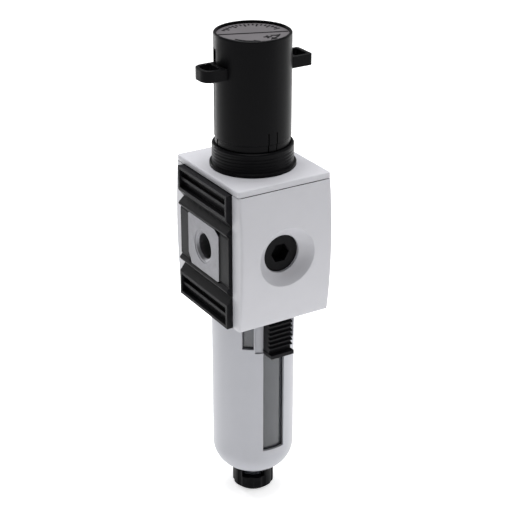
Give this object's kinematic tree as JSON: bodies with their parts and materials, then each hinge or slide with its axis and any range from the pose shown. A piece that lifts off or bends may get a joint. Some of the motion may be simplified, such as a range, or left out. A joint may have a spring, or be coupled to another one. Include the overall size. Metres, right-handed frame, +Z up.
{
  "type": "filter pressure regulator",
  "caption": "Compressed-air filter and pressure regulator in one module: ported body, lockable adjusting knob above, guarded clear bowl with latch and drain knob below.",
  "frame": {"origin": "on the vertical axis, at the seat plane of the neck flange, where the panel thread starts", "axes": "+Z up along the neck and knob, the gauge side faces -Y, air flows from the port at -X to the port at +X"},
  "size_m": [0.053, 0.0584, 0.2248],
  "materials": {
    "cover_grey": "fine satin moulded grey",
    "guard_grey": "fine satin moulded grey",
    "frame_black": "glass-filled black, matt",
    "knob_black": "black, soft satin",
    "disc_grey": "dark grey, satin",
    "zinc": "die-cast zinc, satin",
    "steel": "zinc-plated steel",
    "brass": "machined",
    "plate_alu": "machined",
    "rubber": "matt black",
    "clear": "transparent, glossy",
    "element_white": "sintered, porous",
    "inner_black": "moulded"
  },
  "bodies": {
    "body": {"core_housing": "inner_black", "front_cover": "cover_grey", "rear_cover": "cover_grey", "top_lid": "cover_grey", "side_frame_left": "frame_black", "side_frame_right": "frame_black", "port_bush_left": "zinc", "port_bush_right": "zinc", "port_seal_left": "rubber", "port_seal_right": "rubber", "gauge_plug_front": "inner_black", "gauge_plug_rear": "inner_black", "gauge_seal_front": "rubber", "gauge_seal_rear": "rubber", "bonnet": "knob_black", "lock_ring": "inner_black", "thrust_washer": "steel", "diaphragm": "rubber", "valve_seat": "brass", "valve_cap": "inner_black", "valve_cap_seal": "rubber", "swirl_vane": "inner_black", "filter_element": "element_white", "baffle": "inner_black", "element_rod": "steel", "valve_spring": "steel", "regulating_spring": "steel"},
    "spindle": {"spindle": "steel"},
    "knob": {"knob": "knob_black", "knob_disc": "disc_grey"},
    "lock_clip": {"lock_clip": "knob_black"},
    "spring_seat": {"spring_seat": "brass"},
    "valve": {"diaphragm_plate": "plate_alu", "diaphragm_washer": "steel", "valve_poppet": "brass", "valve_disc": "rubber"},
    "bowl": {"clear_bowl": "clear", "bowl_seal": "rubber", "bowl_guard": "guard_grey", "drain_body": "inner_black", "drain_seal": "rubber", "latch_spring": "steel", "drain_spring": "steel"},
    "latch": {"bowl_latch": "frame_black"},
    "drain_knob": {"drain_knob": "knob_black"},
    "drain_stem": {"drain_stem": "inner_black"}
  },
  "joints": [
    {"name": "knob_turn", "type": "hinge", "parent": "body", "child": "spindle", "pos_m": [0, 0, 0], "axis": [0, 0, 1], "range_deg": [-1800, 0]},
    {"name": "knob_press", "type": "slide", "parent": "spindle", "child": "knob", "axis": [0, 0, 1], "range_m": [-0.0025, 0]},
    {"name": "clip_lift", "type": "slide", "parent": "knob", "child": "lock_clip", "axis": [0, 0, 1], "range_m": [0, 0.0055]},
    {"name": "seat_travel", "type": "slide", "parent": "body", "child": "spring_seat", "axis": [0, 0, 1], "range_m": [-0.0075, 0], "deforming": ["regulating_spring"]},
    {"name": "valve_stroke", "type": "slide", "parent": "body", "child": "valve", "axis": [0, 0, 1], "range_m": [-0.0012, 0], "stiffness_N_per_m": 500, "springref_m": 0.002, "deforming": ["valve_spring", "diaphragm"]},
    {"name": "bowl_turn", "type": "hinge", "parent": "body", "child": "bowl", "pos_m": [0, 0, -0.06], "axis": [0, 0, 1], "range_deg": [-30, 0]},
    {"name": "latch_slide", "type": "slide", "parent": "bowl", "child": "latch", "axis": [0, 0, 1], "range_m": [-0.004, 0], "stiffness_N_per_m": 250, "springref_m": 0.004, "deforming": ["latch_spring"]},
    {"name": "drain_turn", "type": "hinge", "parent": "bowl", "child": "drain_knob", "pos_m": [0, 0, -0.162], "axis": [0, 0, 1], "range_deg": [0, 270]},
    {"name": "stem_lift", "type": "slide", "parent": "bowl", "child": "drain_stem", "axis": [0, 0, 1], "range_m": [0, 0.001], "deforming": ["drain_spring"]}
  ],
  "couplings": [
    {"joint": "knob_turn", "follows": "seat_travel", "rad_per_m": 4188.8},
    {"joint": "drain_turn", "follows": "stem_lift", "rad_per_m": 4712.4}
  ]
}
